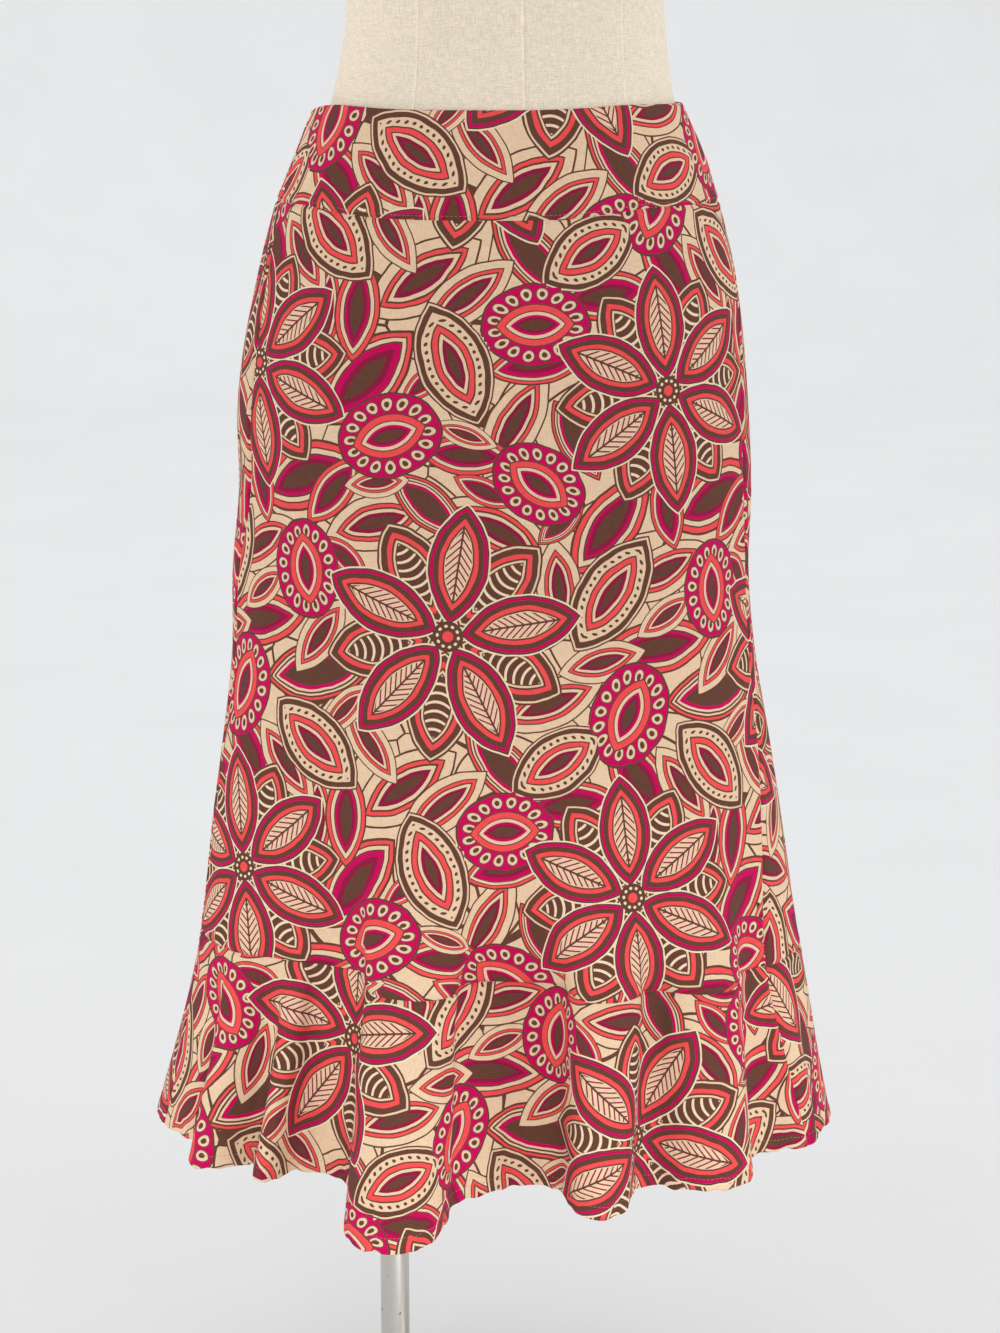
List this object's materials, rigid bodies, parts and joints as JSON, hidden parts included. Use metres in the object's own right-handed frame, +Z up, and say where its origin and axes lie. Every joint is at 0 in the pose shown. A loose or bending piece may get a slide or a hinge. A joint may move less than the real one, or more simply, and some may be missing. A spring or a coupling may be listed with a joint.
{
  "type": "a-line skirt on dress form",
  "caption": "Mid-calf a-line skirt with shaped yoke, flared flounce and side zip, resting on a limbless dress form with an off-centre pole and round base.",
  "frame": {"origin": "middle of the stand's underside, on the floor", "axes": "+Z up, the skirt's front faces -Y, +X to the viewer's right from the front"},
  "size_m": [0.486, 0.4132, 1.5373],
  "materials": {
    "skirt_cloth": "plain-woven linen blend, printed all over with flowers and leaves",
    "form_linen": "natural linen cover",
    "form_board": "plain board",
    "stand_steel": "satin",
    "zip_metal": "enamelled brown"
  },
  "bodies": {
    "root": {"yoke_front": "skirt_cloth", "yoke_back": "skirt_cloth", "skirt_front": "skirt_cloth", "skirt_back": "skirt_cloth", "flounce_front": "skirt_cloth", "flounce_back": "skirt_cloth", "zip_slider": "zip_metal", "form_torso": "form_linen", "form_neck_cap": "form_board", "form_base_plate": "form_board", "pole_socket": "stand_steel", "pole": "stand_steel", "pole_foot": "stand_steel", "stand_base": "stand_steel"},
    "zip_pull": {"zip_pull": "zip_metal"}
  },
  "joints": [
    {"name": "zip_pull_turn", "type": "hinge", "parent": "root", "child": "zip_pull", "pos_m": [0.12451, 0.02599, 0.99273], "axis": [0.3029, -0.9512, 0.0594], "range_deg": [0, 150]}
  ]
}
